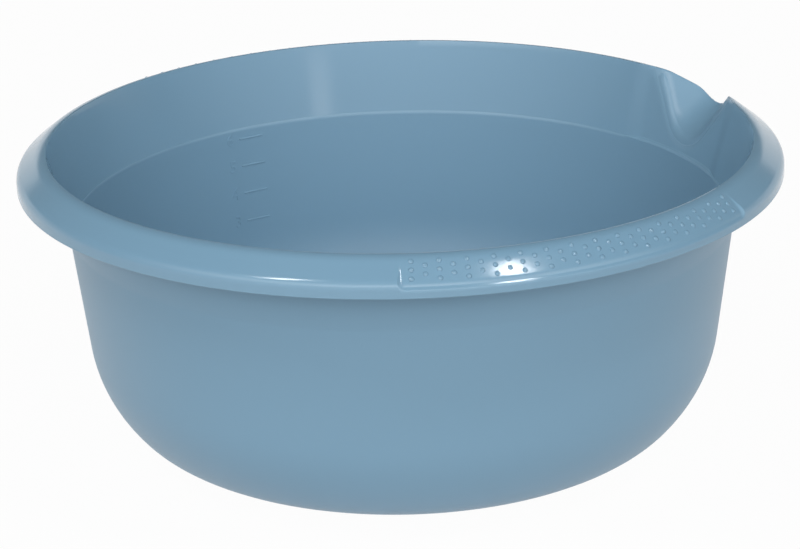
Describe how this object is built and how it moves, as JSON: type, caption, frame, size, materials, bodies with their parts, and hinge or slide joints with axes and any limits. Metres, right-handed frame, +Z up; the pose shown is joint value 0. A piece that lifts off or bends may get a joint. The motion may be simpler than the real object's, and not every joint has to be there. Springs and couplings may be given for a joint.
{
  "type": "washing up bowl",
  "caption": "Round washing up bowl with a flanged rim, a pouring spout, dotted grips, an inside litre scale and a foot ring.",
  "frame": {"origin": "middle of the foot ring's standing face", "axes": "+Z up out of the bowl, +X towards the pouring spout, +Y towards the litre scale's side"},
  "size_m": [0.35, 0.3498, 0.14],
  "materials": {
    "bowl_plastic": "satin polypropylene with a polished rim and upper band"
  },
  "bodies": {
    "root": {"bowl": "bowl_plastic"}
  },
  "joints": []
}
